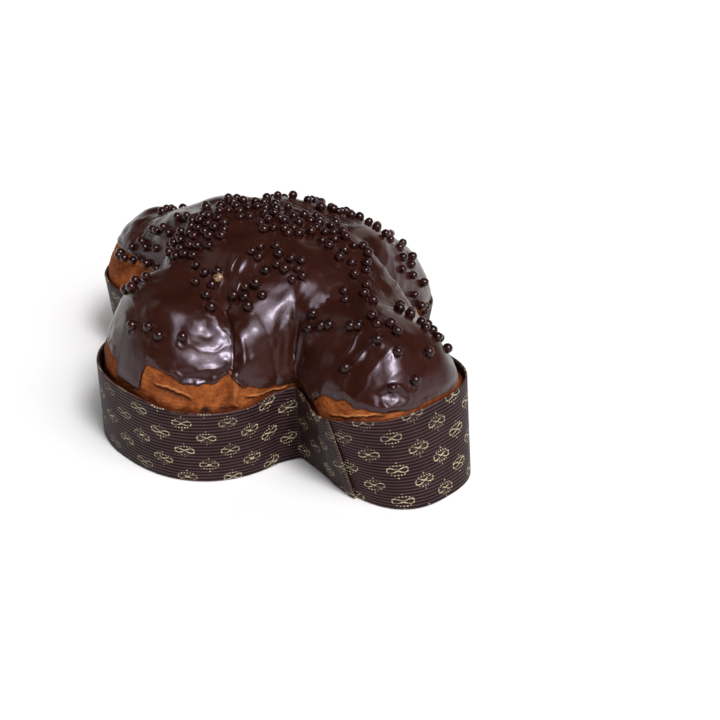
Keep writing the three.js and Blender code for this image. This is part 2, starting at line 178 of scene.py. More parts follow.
def grid_faces(rows, columns, round_rows=False, round_columns=True):
    """Four-sided faces of a grid whose columns run round to the left and rows run up."""
    r = np.arange(rows if round_rows else rows - 1)[:, None]
    c = np.arange(columns if round_columns else columns - 1)[None]
    r2, c2 = (r + 1) % rows, (c + 1) % columns
    corners = [r * columns + c, r * columns + c2, r2 * columns + c2, r2 * columns + c]
    return np.stack([np.broadcast_to(k, corners[0].shape) for k in corners], -1).reshape(-1, 4)


# The plan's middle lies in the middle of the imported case's box.
spread = np.concatenate([OUTLINES["foot"], OUTLINES["rim"]])
case_box = np.array([list(corner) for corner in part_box("paper_case")])
PLACE = np.append(case_box.mean(0)[:2] * 1000 - (spread.min(0) + spread.max(0)) / 2, 0)


def make_piece(name, points, faces, marks=None):
    """A mesh piece in metres. Points in one place are made one, and faces with no area go."""
    points = points.reshape(-1, 3)
    _, first, merged = np.unique(np.round(points, 4), axis=0, return_index=True, return_inverse=True)
    merged = merged.reshape(-1)
    kept = []
    for face in faces:
        ring = merged[face]
        ring = ring[ring != np.roll(ring, 1)]
        if len(ring) > 2 and len(set(ring)) == len(ring):
            kept.append(ring)
    mesh = bpy.data.meshes.new(name)
    mesh.from_pydata(((points[first] + PLACE) / 1000).tolist(), [], [ring.tolist() for ring in kept])
    for mark, values in (marks or {}).items():
        values = values.reshape(len(points), -1)[first].astype(np.float32)
        kind, field = (("FLOAT", "value") if values.shape[1] == 1 else ("FLOAT_VECTOR", "vector"))
        mesh.attributes.new(mark, kind, "POINT").data.foreach_set(field, values.ravel())
    mesh.shade_smooth()
    piece = bpy.data.objects.new(name, mesh)
    bpy.context.scene.collection.objects.link(piece)
    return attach(piece, "root")


def flute(along):
    """The flutes' rise at a distance up the paper: narrow grooves between round ridges."""
    return FLUTE_DEPTH * np.abs(np.sin(np.pi * along / FLUTE)) ** 0.7


WALL_COLUMNS = 680
turns = np.linspace(SEAM - LAP, SEAM + 1, WALL_COLUMNS)
foot, lean, out, height = wall_facts(turns)
slant = np.hypot(height, np.linalg.norm(lean, axis=-1))
strip_run = turns * FOOT_LENGTH
along_strip = np.stack([strip_run, 0 * turns, 0 * turns], -1)
CUT_UNEVEN = 0.25
cut = slant + CUT_UNEVEN * noise(along_strip, 5, 3)

# The strip's section in rows, each with its way up the paper and its push outwards: the
# folded edge, the fluted outer face, the rim, the inner face and the inside of the fold.
FLUTES_UP = 30
FLUTE_PHASES = np.array([0.0, 0.2, 0.5, 0.8])
RIM_BEVEL = 0.15
INNER_ROWS = (0, 2, 4, 6, 9, 14, 22, 32)
FOLD_TOP = 0.35
FOLD_ROWS = ((2.4, PAPER), (FOLD_TOP, 2.6), (FOLD_TOP, FOLDED_UNDER))
zero = 0 * cut
flute_ups = ((np.arange(FLUTES_UP)[:, None] + FLUTE_PHASES) * FLUTE).ravel()[1:]
up = np.minimum(flute_ups[:, None], cut - RIM_BEVEL)
round_in = FOOT_ROUND - np.sqrt(FOOT_ROUND**2 - np.clip(FOOT_ROUND - up, 0, None) ** 2)
section = [
    (zero, zero - FOLDED_UNDER), (zero, zero - FOOT_ROUND),
    (up, flute(up) - round_in),
    (cut, zero - PAPER * 0.3), (cut, zero - PAPER * 0.7),
    *((cut - RIM_BEVEL - deep, zero - PAPER) for deep in INNER_ROWS),
    *((zero + z, zero - deep) for z, deep in FOLD_ROWS),
]
up = np.vstack([rows[0] for rows in section])
push = np.vstack([rows[1] for rows in section])
share = up / slant

# The upper end lies over the lower one and stands off it, most at the foot, and the strip
# waves a little towards its rim.
GLUE = 0.12
LOOSE_FROM = 0.99
LOOSE = 1.3
LESS_AT_RIM = 0.6
WAVY = 0.35
over = smooth(SEAM + 1 - LAP * 1.7, SEAM + 1 - LAP, turns) * (PAPER + GLUE)
lift = smooth(SEAM + LOOSE_FROM, SEAM + 1, turns) * (LOOSE - LESS_AT_RIM * share)
slow = WAVY * noise(along_strip, 22, 5) * np.clip(share, 0, 1)
wall = np.empty(up.shape + (3,))
wall[..., :2] = foot + lean * share[..., None] + out * (push + over + lift + slow)[..., None]
wall[..., 2] = height * share

# The print by the foot's bearing: it lies a little closer and lower on the wings, where less
# of the strip's height shows, and askew on the tail's front, where the strip was drawn round.
PRINT_STRETCH = [(-180, 0.86), (-60, 0.86), (-36, 0.97), (-20, 1), (20, 1), (60, 0.86), (180, 0.86)]
PRINT_DOWN = [(-180, 7.7), (-60, 7.7), (-36, 1.2), (-20, 0.4), (20, 0.4), (60, 7.7), (180, 7.7)]
PRINT_ALONG = [(-180, -3.0), (-75, -3.0), (-40, -6.7), (180, -6.7)]
PRINT_ASKEW = [(-180, 0), (-40, 0), (-24, 9), (-18, 5.5), (-7, 0), (180, 0)]
below = (cut - up) / at_bearing(PRINT_STRETCH, foot)
print_x = strip_run - at_bearing(PRINT_ALONG, foot) - at_bearing(PRINT_ASKEW, foot) * (share - 0.5)
strip = np.stack([print_x, up, below - at_bearing(PRINT_DOWN, foot)], -1)
to_end = (turns[-1] - turns) * FOOT_LENGTH + 0 * up
wall_marks = {"strip": strip, "below_rim": cut - up, "to_end": to_end}
rows, columns = up.shape
caps = [np.arange(rows)[::-1] * columns, np.arange(rows) * columns + columns - 1]
wall_faces = grid_faces(rows, columns, round_rows=True, round_columns=False)
case_wall = make_piece("case_wall", wall, [*wall_faces, *caps], wall_marks)

# The bottom is a flat piece of the same paper that lies on the folded edge of the strip.
BOTTOM_COLUMNS = 360
BOTTOM_GAP = 0.4
foot, _, out, _ = wall_facts(np.linspace(0, 1, BOTTOM_COLUMNS, endpoint=False))
bottom_edge = foot - out * (FOOT_ROUND + BOTTOM_GAP)
bottom = np.stack([
    np.concatenate([bottom_edge * k, np.full((BOTTOM_COLUMNS, 1), z)], -1)
    for k, z in ((0, FOLD_TOP), (1, FOLD_TOP), (1, PAPER), (0, PAPER))
])
case_bottom = make_piece("case_bottom", bottom, grid_faces(*bottom.shape[:2]))


class Value:
    """A value in a material's nodes: Python's operators on it add the Math nodes it takes."""

    def __init__(self, finish, socket):
        self.finish, self.socket = finish, socket

    def __add__(self, other):
        return self.finish.math("ADD", self, other)

    def __sub__(self, other):
        return self.finish.math("SUBTRACT", self, other)

    def __rsub__(self, other):
        return self.finish.math("SUBTRACT", other, self)

    def __mul__(self, other):
        return self.finish.math("MULTIPLY", self, other)

    def __truediv__(self, other):
        return self.finish.math("DIVIDE", self, other)

    def __pow__(self, other):
        return self.finish.math("POWER", self, other)

    def __mod__(self, other):
        return self.finish.math("FLOORED_MODULO", self, other)

    def __abs__(self):
        return self.finish.math("ABSOLUTE", self)

    __radd__ = __add__
    __rmul__ = __mul__

    def floor(self):
        return self.finish.math("FLOOR", self)

    def most(self, other):
        return self.finish.math("MAXIMUM", self, other)

    def ramp(self, low, high):
        """0 at low, 1 at high, smooth between."""
        return self.finish.node(
            "ShaderNodeMapRange", {"Value": self, "From Min": low, "From Max": high},
            interpolation_type="SMOOTHSTEP")


class Finish:
    """A material, or the room round the scene: its shader's constants are set here, and
    node() makes every other node."""

    def __init__(self, name, owner=None, shader="Principled BSDF", **constants):
        self.material = owner or bpy.data.materials.new(name)
        self.material.use_nodes = True
        self.tree = self.material.node_tree
        self.shader = self.tree.nodes[shader]
        for key, value in constants.items():
            self.shader.inputs[key.replace("_", " ")].default_value = value

    def node(self, kind, inputs=None, output=0, **settings):
        """A node of that kind: first its settings, then its sockets' values or links."""
        made = self.tree.nodes.new(kind)
        for key, value in settings.items():
            setattr(made, key, value)
        for key, value in (inputs or {}).items():
            if isinstance(value, Value):
                self.tree.links.new(value.socket, made.inputs[key])
            else:
                made.inputs[key].default_value = value
        return Value(self, made.outputs[output])

    def math(self, operation, *values):
        """A Math node on values or numbers."""
        return self.node("ShaderNodeMath", dict(enumerate(values)), operation=operation)

    def mark(self, name, output="Vector"):
        """What make_piece marked on the piece's points under that name."""
        return self.node("ShaderNodeAttribute", output=output, attribute_name=name)

    def parts(self, vector):
        """The x, y and z of a vector."""
        return [self.node("ShaderNodeSeparateXYZ", {0: vector}, output=k) for k in range(3)]

    def grain(self, size, detail=3, rough=0.55, stretch=(1, 1, 1)):
        """Noise of that size in millimetres, read at the piece's own coordinates."""
        here = self.node("ShaderNodeTexCoord", output="Object")
        scale = [k * 1000 / size for k in stretch]
        scaled = self.node("ShaderNodeMapping", {"Vector": here, "Scale": scale})
        return self.node("ShaderNodeTexNoise", {
            "Vector": scaled, "Scale": 1, "Detail": detail, "Roughness": rough})

    def near(self, place, reach, soft):
        """1 inside that reach of a place in millimetres, 0 beyond it, with a ragged edge."""
        here = self.node("ShaderNodeTexCoord", output="Object")
        centre = (np.array(place, float) + PLACE) / 1000
        away = self.node("ShaderNodeVectorMath", {0: here, 1: centre}, output=1, operation="DISTANCE")
        ragged = away * 1000 + self.grain(reach, 3) * reach * 0.8 - reach * 0.4
        return 1 - ragged.ramp(reach - soft, reach)

    def blend(self, share, low, high):
        """From the colour low to the colour high by a share."""
        inputs = {0: share}
        for key, colour in ((6, low), (7, high)):
            inputs[key] = colour if isinstance(colour, Value) else (*colour, 1)
        return self.node("ShaderNodeMix", inputs, output=2, data_type="RGBA")

    def coats(self, colour, *coats):
        """The colour under one coat after another, each a share and its own colour."""
        for share, coat in coats:
            colour = self.blend(share, colour, coat)
        return colour

    def bump(self, height, distance, strength, under=None):
        """Relief that deep in millimetres, over the relief under it if there is one."""
        inputs = {"Height": height, "Distance": distance / 1000, "Strength": strength}
        if under:
            inputs["Normal"] = under
        return self.node("ShaderNodeBump", inputs)

    def feed(self, **links):
        """Links values to the shader's sockets."""
        for key, value in links.items():
            self.tree.links.new(value.socket, self.shader.inputs[key.replace("_", " ")])


# The print: small bows, each of two loops with a row of petals above and below, set in
# staggered columns along the strip.
COLUMN_STEP = 12.87
BOW_STEP = 21.0
BOW_LONG = 5.2
BOW_WIDE = 1.65
LINE_HALF = 0.3
paper = Finish("case_paper", Roughness=0.46, Specular_IOR_Level=0.12)
along, above, down = paper.parts(paper.mark("strip"))
below_rim = paper.mark("below_rim", "Fac")
to_end = paper.mark("to_end", "Fac")
column = (along / COLUMN_STEP).floor()
x = abs(along - (column + 0.5) * COLUMN_STEP)
y = abs((down + (column % 2 + 1) * (BOW_STEP / 2)) % BOW_STEP - BOW_STEP / 2)


def spot(cx, cy, rx, ry):
    """How far inside an ellipse: 1 at its middle, 0 on it."""
    return 1 - (((x - cx) / rx) ** 2 + ((y - cy) / ry) ** 2) ** 0.5


def bow(long, wide, half):
    """The same for a line of that half width along the figure eight y = k x (1 - (x/a)^2)^0.5.
    Off the line, the gap is F over the length of F's slope, where F = y^2 - k^2 x^2 (1 - (x/a)^2),
    and a little is added to the slope, which is 0 where the loops cross."""
    k = 2 * wide / long
    gap = y**2 - (1 - (x / long) ** 2) * x**2 * k**2
    slope_x = (1 - (x / long) ** 2 * 2) * x * (2 * k**2)
    slope = (y**2 * 4 + slope_x**2) ** 0.5 + 0.3
    return 1 - abs(gap) / slope / half


# The petals beside a quarter of the bow: place and half sizes.
PETALS = (
    (0, 3.15, 0.52, 0.55), (1.65, 3.15, 0.48, 0.52), (3.2, 2.8, 0.42, 0.45), (0, 5.1, 0.45, 0.45),
    (5.0, 1.3, 0.42, 0.4))
ink = bow(BOW_LONG, BOW_WIDE, LINE_HALF)
for petal in PETALS:
    ink = ink.most(spot(*petal) * 0.9)
worn = paper.grain(1.1, 2)
grooves = abs((above / FLUTE) % 1 - 0.5)
# The ink wears in patches and fades in the grooves, where the fading is painted shade on the print.
ink = ink.ramp(-0.12, 0.4) * worn.ramp(0.22, 0.55) * (1 - grooves.ramp(0.30, 0.48) * 0.85)

# Painted highlight on the ridges, painted shade in the grooves, the worn rim and the raw end of the strip.
ground_with_painted_light = paper.coats(
    paper.blend(paper.grain(14, 3).ramp(0.3, 0.7), (0.024, 0.0088, 0.0094), (0.044, 0.0185, 0.0193)),
    ((1 - grooves.ramp(0.02, 0.18)) * 0.46, (0.090, 0.045, 0.047)),
    (grooves.ramp(0.12, 0.40) * 0.94, (0.0040, 0.0015, 0.0018)),
    ((1 - below_rim.ramp(0.1, 0.45)) * worn.ramp(0.35, 0.6) * 0.7, (0.10, 0.062, 0.05)),
    ((1 - to_end.ramp(0.2, 1.1)) * worn.ramp(0.3, 0.5) * 0.9, (0.15, 0.095, 0.07)))
gold = paper.blend(paper.grain(40, 2).ramp(0.35, 0.65), (0.22, 0.185, 0.115), (0.46, 0.40, 0.24))
fibre = paper.grain(0.9, 4)
paper.feed(Base_Color=paper.blend(ink, ground_with_painted_light, gold), Normal=paper.bump(fibre, 0.12, 0.5))
plain = Finish("case_board", Roughness=0.7, Specular_IOR_Level=0.2)
plain.feed(Base_Color=plain.blend(plain.grain(3), (0.030, 0.019, 0.019), (0.048, 0.030, 0.028)))
for piece, finish in ((case_wall, paper), (case_bottom, plain)):
    piece.data.materials.append(finish.material)
    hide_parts("paper_case")

# ---- the cake ----------------------------------------------------------------------
# Sweet yeast dough, baked in the case. It rose out of it in rounded mounds, browned
# outside, and its crust wrinkled and cracked along the paper as it cooled and sank.
CASE_GAP = 0.8
SHRINK = 1.0
SEAT_DROP = 4.0
SEAT_SHARE = 0.94
ROUNDNESS = 2.3
# The mounds of dough: where each stands, its half axes and their turn in degrees, its top
# and the power by which it falls off.
MOUNDS = [
    dict(at=(-6, 8), long=97, wide=72, turn=10, top=112, power=3.4),
    dict(at=(82, -12), long=70, wide=46, turn=-6, top=92.5, power=2.4),
    dict(at=(-6, -62), long=54, wide=54, turn=0, top=93, power=2.6),
    dict(at=(36, -36), long=58, wide=40, turn=-52, top=95.5, power=2.3),
    dict(at=(22, 60), long=50, wide=52, turn=0, top=90, power=2.4),
    dict(at=(-104, -4), long=44, wide=48, turn=0, top=86.5, power=2.6),
]
FALL = 38
SOFTNESS = 6
# The creases between them, as paths in the plan with the depth at each corner.
CREASES = [
    dict(path=[(52, -84), (43, -73), (33, -63), (12, -55), (-8, -50)], depth=[6, 7, 6, 3, 0], width=5),
    dict(path=[(66, -46), (58.5, -41), (56, -36), (60, -29), (66, -24)], depth=[3, 6, 5, 2, 0], width=4.5),
]
CREASE_ROUND = 2
# How far the crust shrank away from the paper as it cooled, by the foot's bearing.
OPENED = [(-180, 0), (-125, 0.6), (-108, 2.2), (-95, 3.0), (-82, 2.4), (-72, 0.8), (-60, 0), (180, 0)]


def turned(point, at, turn):
    """A point of the plan along and across an axis through a place, turned by degrees."""
    dx, dy = point[..., 0] - at[0], point[..., 1] - at[1]
    c, s = np.cos(np.radians(turn)), np.sin(np.radians(turn))
    return dx * c + dy * s, dy * c - dx * s


def off_path(point, path):
    """Distance of each point from a path, more than 0 on the path's left in the plan or above
    it in space, and how far along the path it is nearest, counted in the path's corners."""
    path = np.array(path, float)
    nearest, along, side = np.full(point.shape[:-1], np.inf), 0.0, 1.0
    for k, (a, b) in enumerate(zip(path, path[1:])):
        way = b - a
        t = np.clip((point - a) @ way / (way @ way + 1e-9), 0, 1)
        gap = point - a - t[..., None] * way
        away = np.linalg.norm(gap, axis=-1)
        left = gap[..., 2] if len(way) > 2 else way[0] * gap[..., 1] - way[1] * gap[..., 0]
        along = np.where(away < nearest, k + t, along)
        side = np.where(away < nearest, np.sign(left), side)
        nearest = np.minimum(away, nearest)
    return nearest * side, along


def crease_depth(point):
    """Each crease's depth at the nearest place of its path, falling off with the distance."""
    total = 0.0
    for crease in CREASES:
        away, along = off_path(point, crease["path"])
        here = np.interp(along, np.arange(len(crease["depth"])), crease["depth"])
        total = total + here * np.exp(-(np.hypot(away, CREASE_ROUND) - CREASE_ROUND) / crease["width"])
    return total


def dome(point):
    """The soft maximum of the mounds, each top - fall r^power, less the creases, with a slow
    swell of sine times sine."""
    heights = []
    for mound in MOUNDS:
        along, across = turned(point, mound["at"], mound["turn"])
        reach = np.hypot(along / mound["long"], across / mound["wide"])
        heights.append(mound["top"] - FALL * reach ** mound["power"])
    heights = np.array(heights)
    highest = heights.max(0)
    soft = highest + SOFTNESS * np.log(np.exp((heights - highest) / SOFTNESS).sum(0))
    swell = 0.8 * np.sin(point[..., 0] * 0.11 + 1.3) * np.sin(point[..., 1] * 0.13 + 0.4)
    return soft - crease_depth(point) + swell


def cake_top(turn, angle):
    """The cake over the case. Up to 90 degrees the angle runs up the rounded shoulder, where
    1 - in = cos^(2/r) and rise = sin^(2/r), and from there to 180 straight in to the middle."""
    foot, lean, out, height = wall_facts(turn)
    opened = at_bearing(OPENED, foot)
    seat = foot + lean * SEAT_SHARE - out * (PAPER + SHRINK + opened)[..., None]
    inner = plan("inner", turn)
    low = height - SEAT_DROP
    lifted = np.minimum(np.radians(angle), np.pi / 2)
    into = 1 - np.clip(np.cos(lifted), 0, 1) ** (2 / ROUNDNESS)
    rise = np.sin(lifted) ** (2 / ROUNDNESS)
    left = np.clip(2 - angle / 90, 0, 1)
    flat = (seat + (inner - seat) * into[..., None]) * left[..., None]
    return np.concatenate([flat, (low + (dome(flat) - low) * rise)[..., None]], -1)


def normals(grid):
    """Outward normals of a grid whose columns run round, from the steps along each way."""
    along = np.roll(grid, -1, 1) - np.roll(grid, 1, 1)
    up = np.gradient(grid, axis=0)
    normal = np.cross(along, up)
    return normal / (np.linalg.norm(normal, axis=-1, keepdims=True) + 1e-9)


def ridged(points, size, seed):
    """Sharp ridges where the noise crosses zero: 1 - |noise| squared."""
    return (1 - np.abs(noise(points, size, seed))) ** 2


# Cracks where the crust's upper layer lifted over the lower one, and a fold of dough that
# stands up below the pit of the crease.
LIFTED = [
    dict(path=[(14, -103, 55), (22, -99, 54), (27, -98, 54), (31, -96, 53), (37, -91, 49)], high=0.95),
    dict(path=[(50, -72, 50), (52, -66, 50), (52, -59, 48), (54, -47, 48), (56, -41, 49)], high=1.3),
    dict(path=[(90, -52, 51), (103, -51, 54), (111, -48, 57), (117, -44, 58), (121, -38, 59)], high=0.6),
]
UPRIGHT_FOLD = [(44, -72, 65), (47, -74, 63), (48, -75, 57), (50, -76, 53), (49, -75, 47)]
PER_CORNER = 4


def beside(points, path):
    """off_path in space, with the path first drawn onto the surface's nearest points."""
    at = np.linspace(0, len(path) - 1, PER_CORNER * (len(path) - 1) + 1)
    places = np.stack([np.interp(at, np.arange(len(path)), k) for k in np.transpose(path)], -1)
    flat = points.reshape(-1, 3)
    carried = [flat[np.argmin(np.linalg.norm(flat - place, axis=-1))] for place in places]
    ragged = points + 0.7 * np.stack([noise(points, 4, seed) for seed in (17, 18, 19)], -1)
    away, along = off_path(ragged, carried)
    return away, along / PER_CORNER


def crust_relief(points):
    """Soft swellings, wrinkles and crags of the crust, with its cracks' lifted edges, and
    how torn it is there: -1 in a crack's gap, which gets painted shade, up to 1 on the thin edge above it."""
    stretched = points * [1, 1, 1.6]
    swell = 0.8 * noise(points, 17, 11) + 0.35 * noise(stretched, 7, 12)
    crags = ridged(stretched, 6.5, 13) * (0.5 + 0.5 * noise(points, 15, 14)) * 0.7
    total = swell + crags - 0.25 * ridged(points, 2.6, 15) - 0.15 * ridged(stretched, 1.7, 16)
    torn = 0.0
    for crack in LIFTED:
        away, along = beside(points, crack["path"])
        last = len(crack["path"]) - 1
        ends = smooth(0, 0.7, along) * smooth(last, last - 0.7, along)
        upper = 0.7 * np.exp(-np.abs(away) / 5) * smooth(-0.25, 0.25, away)
        lower = 0.9 * np.exp(-np.abs(away) / 3) * smooth(0.25, -0.25, away)
        total = total + crack["high"] * ends * (upper - lower)
        edge = np.exp(-(((away - 1.0) / 0.6) ** 2)) - 1.5 * np.exp(-(((away + 0.35) / 0.65) ** 2))
        torn = torn + ends * edge
    away, _ = beside(points, UPRIGHT_FOLD)
    away = np.abs(away)
    fold = 1.7 * np.exp(-((away / 1.3) ** 2)) - 0.6 * np.exp(-(((away - 2.8) / 1.0) ** 2))
    return total + fold, np.clip(torn, -1, 1)


# Bare crust between rim and icing: its height by the foot's bearing. The icing ran down
# to the paper in a tongue on the front wing.
BARE_CRUST = [
    (-180, 17), (-163, 20), (-155, 21), (-146, 14), (-135, 11), (-120, 11), (-106, 11), (-99, 9),
    (-97, 1.5), (-86.5, 1.5), (-85.5, 14.5), (-80, 14.5), (-76, 15), (-71, 12), (-61, 12.5),
    (-56, 17), (-51, 11.5), (-44, 6), (-37, 3.5), (-31, 1.5), (-24, 1.5), (-21.5, 10), (-19, 8.5),
    (-16.5, 4.3), (-11, 3), (-6, 1.5), (-2, 2.5), (4, 1.5), (10, 3), (16, 2), (24, 6), (34, 3),
    (46, 7), (58, 2), (66, 4), (78, 9), (90, 12), (102, 7), (112, 10), (126, 3), (138, 5),
    (150, 13), (164, 16), (180, 17),
]
SEARCH_TO = 80.0
HALVINGS = 24


def icing_edge(turn):
    """The shoulder's angle where the icing ends, found by halving."""
    foot, _, _, height = wall_facts(turn)
    bare = at_bearing(BARE_CRUST, foot)
    place = np.append(foot, height[..., None], -1)
    uneven = 1.1 * noise(place, 9, 31) + 0.8 * noise(place, 4, 32)
    want = height + bare + uneven * smooth(1.5, 7, bare)
    low, high = np.zeros(len(turn)), np.full(len(turn), SEARCH_TO)
    for _ in range(HALVINGS):
        middle = (low + high) / 2
        under = cake_top(turn, middle)[..., 2] < want
        low, high = np.where(under, middle, low), np.where(under, high, middle)
    return low


def bareness(past_edge):
    """1 on the bare crust and a little way under the icing, 0 deeper under it."""
    return smooth(14, 4, past_edge)


# Close rows of points where the crust shows and just under the icing, few in the middle.
CRUST_COLUMNS = 900
SHOWN_ROWS = 44
HIDDEN_ROWS = 13
UNDER_ICING = 6
turns = np.linspace(0, 1, CRUST_COLUMNS, endpoint=False)
edge_angle = icing_edge(turns)
last_shown = edge_angle + UNDER_ICING
shown = np.linspace(0, 1, SHOWN_ROWS)[:, None] * last_shown
hidden = last_shown + (180 - last_shown) * np.linspace(0, 1, HIDDEN_ROWS + 1)[1:, None]
angles = np.vstack([shown, hidden])
crust = cake_top(turns, angles)
relief, torn = crust_relief(crust)
relief = relief * bareness(angles - edge_angle) * smooth(-1, 5, angles)
crust = crust + normals(crust) * relief[..., None]

# The cake's side in the case, and the middle of its flat bottom.
CAKE_FOOT = 1.15
foot, lean, out, height = wall_facts(turns)
side = []
for share in (0.0, 0.5):
    gap = PAPER + CASE_GAP + (SHRINK - CASE_GAP) * share
    z = CAKE_FOOT + (height - CAKE_FOOT) * share
    side.append(np.concatenate([foot + lean * share - out * gap, z[:, None]], -1))
middle = np.zeros_like(side[0]) + [0, 0, CAKE_FOOT]
body = np.concatenate([[middle], side, crust])
in_case = np.zeros((1 + len(side), CRUST_COLUMNS))
crust_marks = {"relief": relief, "over_rim": crust[..., 2] - height, "torn": torn}
cake_crust = make_piece(
    "cake_crust", body, grid_faces(*body.shape[:2]),
    {mark: np.concatenate([in_case, values]) for mark, values in crust_marks.items()})

crust_finish = Finish("baked_crust", Roughness=0.68, Specular_IOR_Level=0.06)
dents = crust_finish.mark("relief", "Fac")
over_rim = crust_finish.mark("over_rim", "Fac")
tear = crust_finish.mark("torn", "Fac")
mottle = crust_finish.grain(9, 5, 0.6)
pores = crust_finish.grain(0.8, 4, 0.6)
papery = crust_finish.grain(4, 5, 0.7, stretch=(1, 1, 2.2))
streaks = crust_finish.grain(2.4, 4, 0.65, stretch=(0.5, 0.5, 1.8))
low_down = 1 - (over_rim + mottle * 5).ramp(0.5, 5.0)
# Painted shade in the pits at the foot of the crease: its colour and where it lies.
PIT_SHADE = (0.032, 0.006, 0.004)
pit_shades = [crust_finish.near(place, reach, 2.6) * 0.6
        for place, reach in (((46, -81, 47), 3.4), ((51, -77, 46.5), 2.2))]
smear = crust_finish.near((42, -89, 45), 4.6, 3.2) * papery.ramp(0.36, 0.46)
colour = crust_finish.coats(
    crust_finish.blend(mottle.ramp(0.32, 0.68), (0.165, 0.038, 0.0085), (0.315, 0.092, 0.023)),
    # Dark and pale flakes of the papery skin, and streaks in it.
    (papery.ramp(0.5, 0.72) * 0.65, (0.105, 0.020, 0.0055)),
    (streaks.ramp(0.52, 0.68) * 0.5, (0.090, 0.017, 0.0050)),
    ((1 - papery.ramp(0.28, 0.42)) * 0.5, (0.38, 0.135, 0.038)),
    # Darker by the paper, painted shade in the dents, painted highlight on the crags, and the darkest
    # painted shade in the crease's pits.
    (low_down * 0.75, (0.080, 0.0140, 0.0042)),
    ((1 - dents.ramp(-1.3, -0.2)) * 0.75, (0.050, 0.0120, 0.0055)),
    (dents.ramp(0.9, 1.7) * 0.35, (0.37, 0.135, 0.045)),
    *((pit_shade, PIT_SHADE) for pit_shade in pit_shades),
    # The thin edge of a crack, and painted shade in the gap below it.
    (tear.ramp(0.25, 0.9) * papery.ramp(0.3, 0.55) * 0.8, (0.50, 0.21, 0.065)),
    ((0 - tear).ramp(0.2, 0.6) * papery.ramp(0.25, 0.45) * 0.8, (0.045, 0.0120, 0.0056)),
    # The head is a lighter brown, and a smear of icing lies low beside the crease.
    (crust_finish.near((-120, -10, 62), 34, 20) * 0.65, (0.40, 0.125, 0.030)),
    (smear * 0.95, (0.022, 0.0075, 0.0050)))
crust_finish.feed(Base_Color=colour, Normal=crust_finish.bump(
    pores, 0.5, 0.8, crust_finish.bump(papery + streaks * 0.6, 1.8, 0.9)))
cake_crust.data.materials.append(crust_finish.material)
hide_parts("cake")

# ---- the pearls' places ------------------------------------------------------------
# Crisp cereal pearls in dark chocolate, thrown over the icing while it was soft. Each
# patch strews its own number over an ellipse and skips places too near another pearl.
PEARL = 5.3
SINGLE = 5.8
CLOSEST = 0.97
TRIES = 1999
# The fixed steps and the patches' own starts of reach, bearing and size.
STEPS = np.array([0.7548777, 0.5698403, 0.618034])
STARTS = np.array([0.37, 0.61, 0.23])
PATCHES = [
    dict(at=(-50, -31), long=36, wide=7, turn=-4, count=32),
    dict(at=(-27, -35), long=17, wide=17, turn=0, count=30),
    dict(at=(-28, 0), long=25, wide=20, turn=40, count=25),
    dict(at=(10, 6), long=27, wide=12, turn=68, count=22),
    dict(at=(44, 7), long=21, wide=12, turn=-28, count=16),
    dict(at=(29, -27), long=19, wide=8, turn=5, count=13),
    dict(at=(31, -50), long=8, wide=6, turn=20, count=9, size=1.1),
    dict(at=(1, -56), long=13, wide=9, turn=-35, count=5),
    dict(at=(-28, -77), long=8, wide=5, turn=30, count=4),
    dict(at=(70, -9), long=10, wide=7, turn=40, count=5),
    dict(at=(100, 8), long=17, wide=7, turn=5, count=11),
    dict(at=(-96, 5), long=10, wide=7, turn=60, count=6),
    dict(at=(-89, -34), long=9, wide=5, turn=10, count=7),
    dict(at=(2, 45), long=14, wide=7, turn=25, count=10),
    dict(at=(37, 60), long=20, wide=13, turn=30, count=18),
    dict(at=(-34, 38), long=28, wide=12, turn=30, count=9),
]
# Those that lie by themselves, on the front of the wing and the fold and on the tail.
SINGLES = [
    (-6, -97), (5, -95), (12, -94), (22, -87), (14, -65), (21, -68), (61, -32), (63, -37),
    (69, -34.5), (73, -33), (85, -30), (88.5, -28), (90, -20), (95, -21.5), (100, -17),
    (104.5, -18), (102, -29), (112, -25), (118, -8), (123, -23), (96, -43), (119.5, -35.5),
]


def pearl_places():
    """x, y and size of every pearl. A patch's reach, bearing and size come from the fractions
    of k times three irrational numbers, and a place too near a pearl is skipped."""
    places = np.array([(x, y, SINGLE) for x, y in SINGLES])
    for number, patch in enumerate(PATCHES):
        c, s = np.cos(np.radians(patch["turn"])), np.sin(np.radians(patch["turn"]))
        made, k = 0, 0
        while made < patch["count"] and k < TRIES:
            k += 1
            far, round_to, big = (k * STEPS + number * STARTS) % 1
            reach, bearing = np.sqrt(far), 2 * np.pi * round_to
            u, v = patch["long"] * reach * np.cos(bearing), patch["wide"] * reach * np.sin(bearing)
            size = PEARL * patch.get("size", 1) * (0.9 + 0.2 * big)
            x, y = patch["at"][0] + u * c - v * s, patch["at"][1] + u * s + v * c
            apart = np.hypot(places[:, 0] - x, places[:, 1] - y)
            if np.all(apart > CLOSEST * (places[:, 2] + size) / 2):
                places = np.vstack([places, [x, y, size]])
                made += 1
    return places


# The last of the single ones lies in a ring of icing that it pushed up on the tail's front.
# One more pearl broke and shows its pale cereal.
RINGED = SINGLES[-1]
BROKEN = (8, -51, 5.6)
pearls = np.vstack([pearl_places(), BROKEN])

# ---- the chocolate icing -----------------------------------------------------------
# Dark chocolate, poured warm over the cake. It set glossy, with a round lip along its
# edge, ripples where it ran into the creases, and a low collar round every pearl.
# The icing's gap from the cake, its thickness, the lip, its bead and the pearls' collars.
CLEAR = 0.35
ICING = 1.6
LIP_ROUND = 1.2
LIP_SHARE = 0.55
LIP_GAIN = 0.45
THINNEST = 0.6
BEAD_HIGH = 0.2
BEAD_AT = 2.6
BEAD_WIDE = 2.2
COLLAR_HIGH = 0.3
COLLAR_WIDE = 0.6
COLLAR_AT = 0.4


def from_place(points, x, y):
    """Distance of a surface's points from the one of them that lies over a place."""
    over = np.argmin(np.hypot(points[..., 0] - x, points[..., 1] - y))
    return np.linalg.norm(points - points.reshape(-1, 3)[over], axis=-1)


